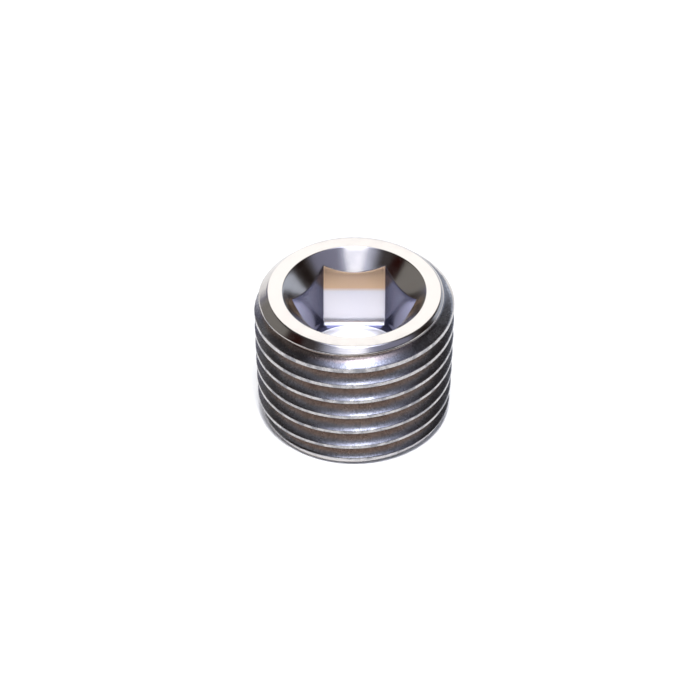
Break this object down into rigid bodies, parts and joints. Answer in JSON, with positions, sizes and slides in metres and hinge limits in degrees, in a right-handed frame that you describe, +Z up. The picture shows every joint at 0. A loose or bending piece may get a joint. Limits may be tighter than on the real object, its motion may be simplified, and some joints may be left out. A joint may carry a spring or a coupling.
{
  "type": "hex socket plug",
  "caption": "Headless taper-threaded pipe plug with a hexagon socket, which screws flush into a tapped port to seal it.",
  "frame": {"origin": "centre of the bottom face, which is the small end of the taper", "axes": "+Z up the axis, from the small end to the end with the socket; two flats of the hexagon face +Y and -Y"},
  "size_m": [0.0132, 0.0132, 0.0098],
  "materials": {
    "bright_plated_steel": "steel, turned and broached, with a bright nickel plating"
  },
  "bodies": {
    "root": {"plug_body": "bright_plated_steel"}
  },
  "joints": []
}
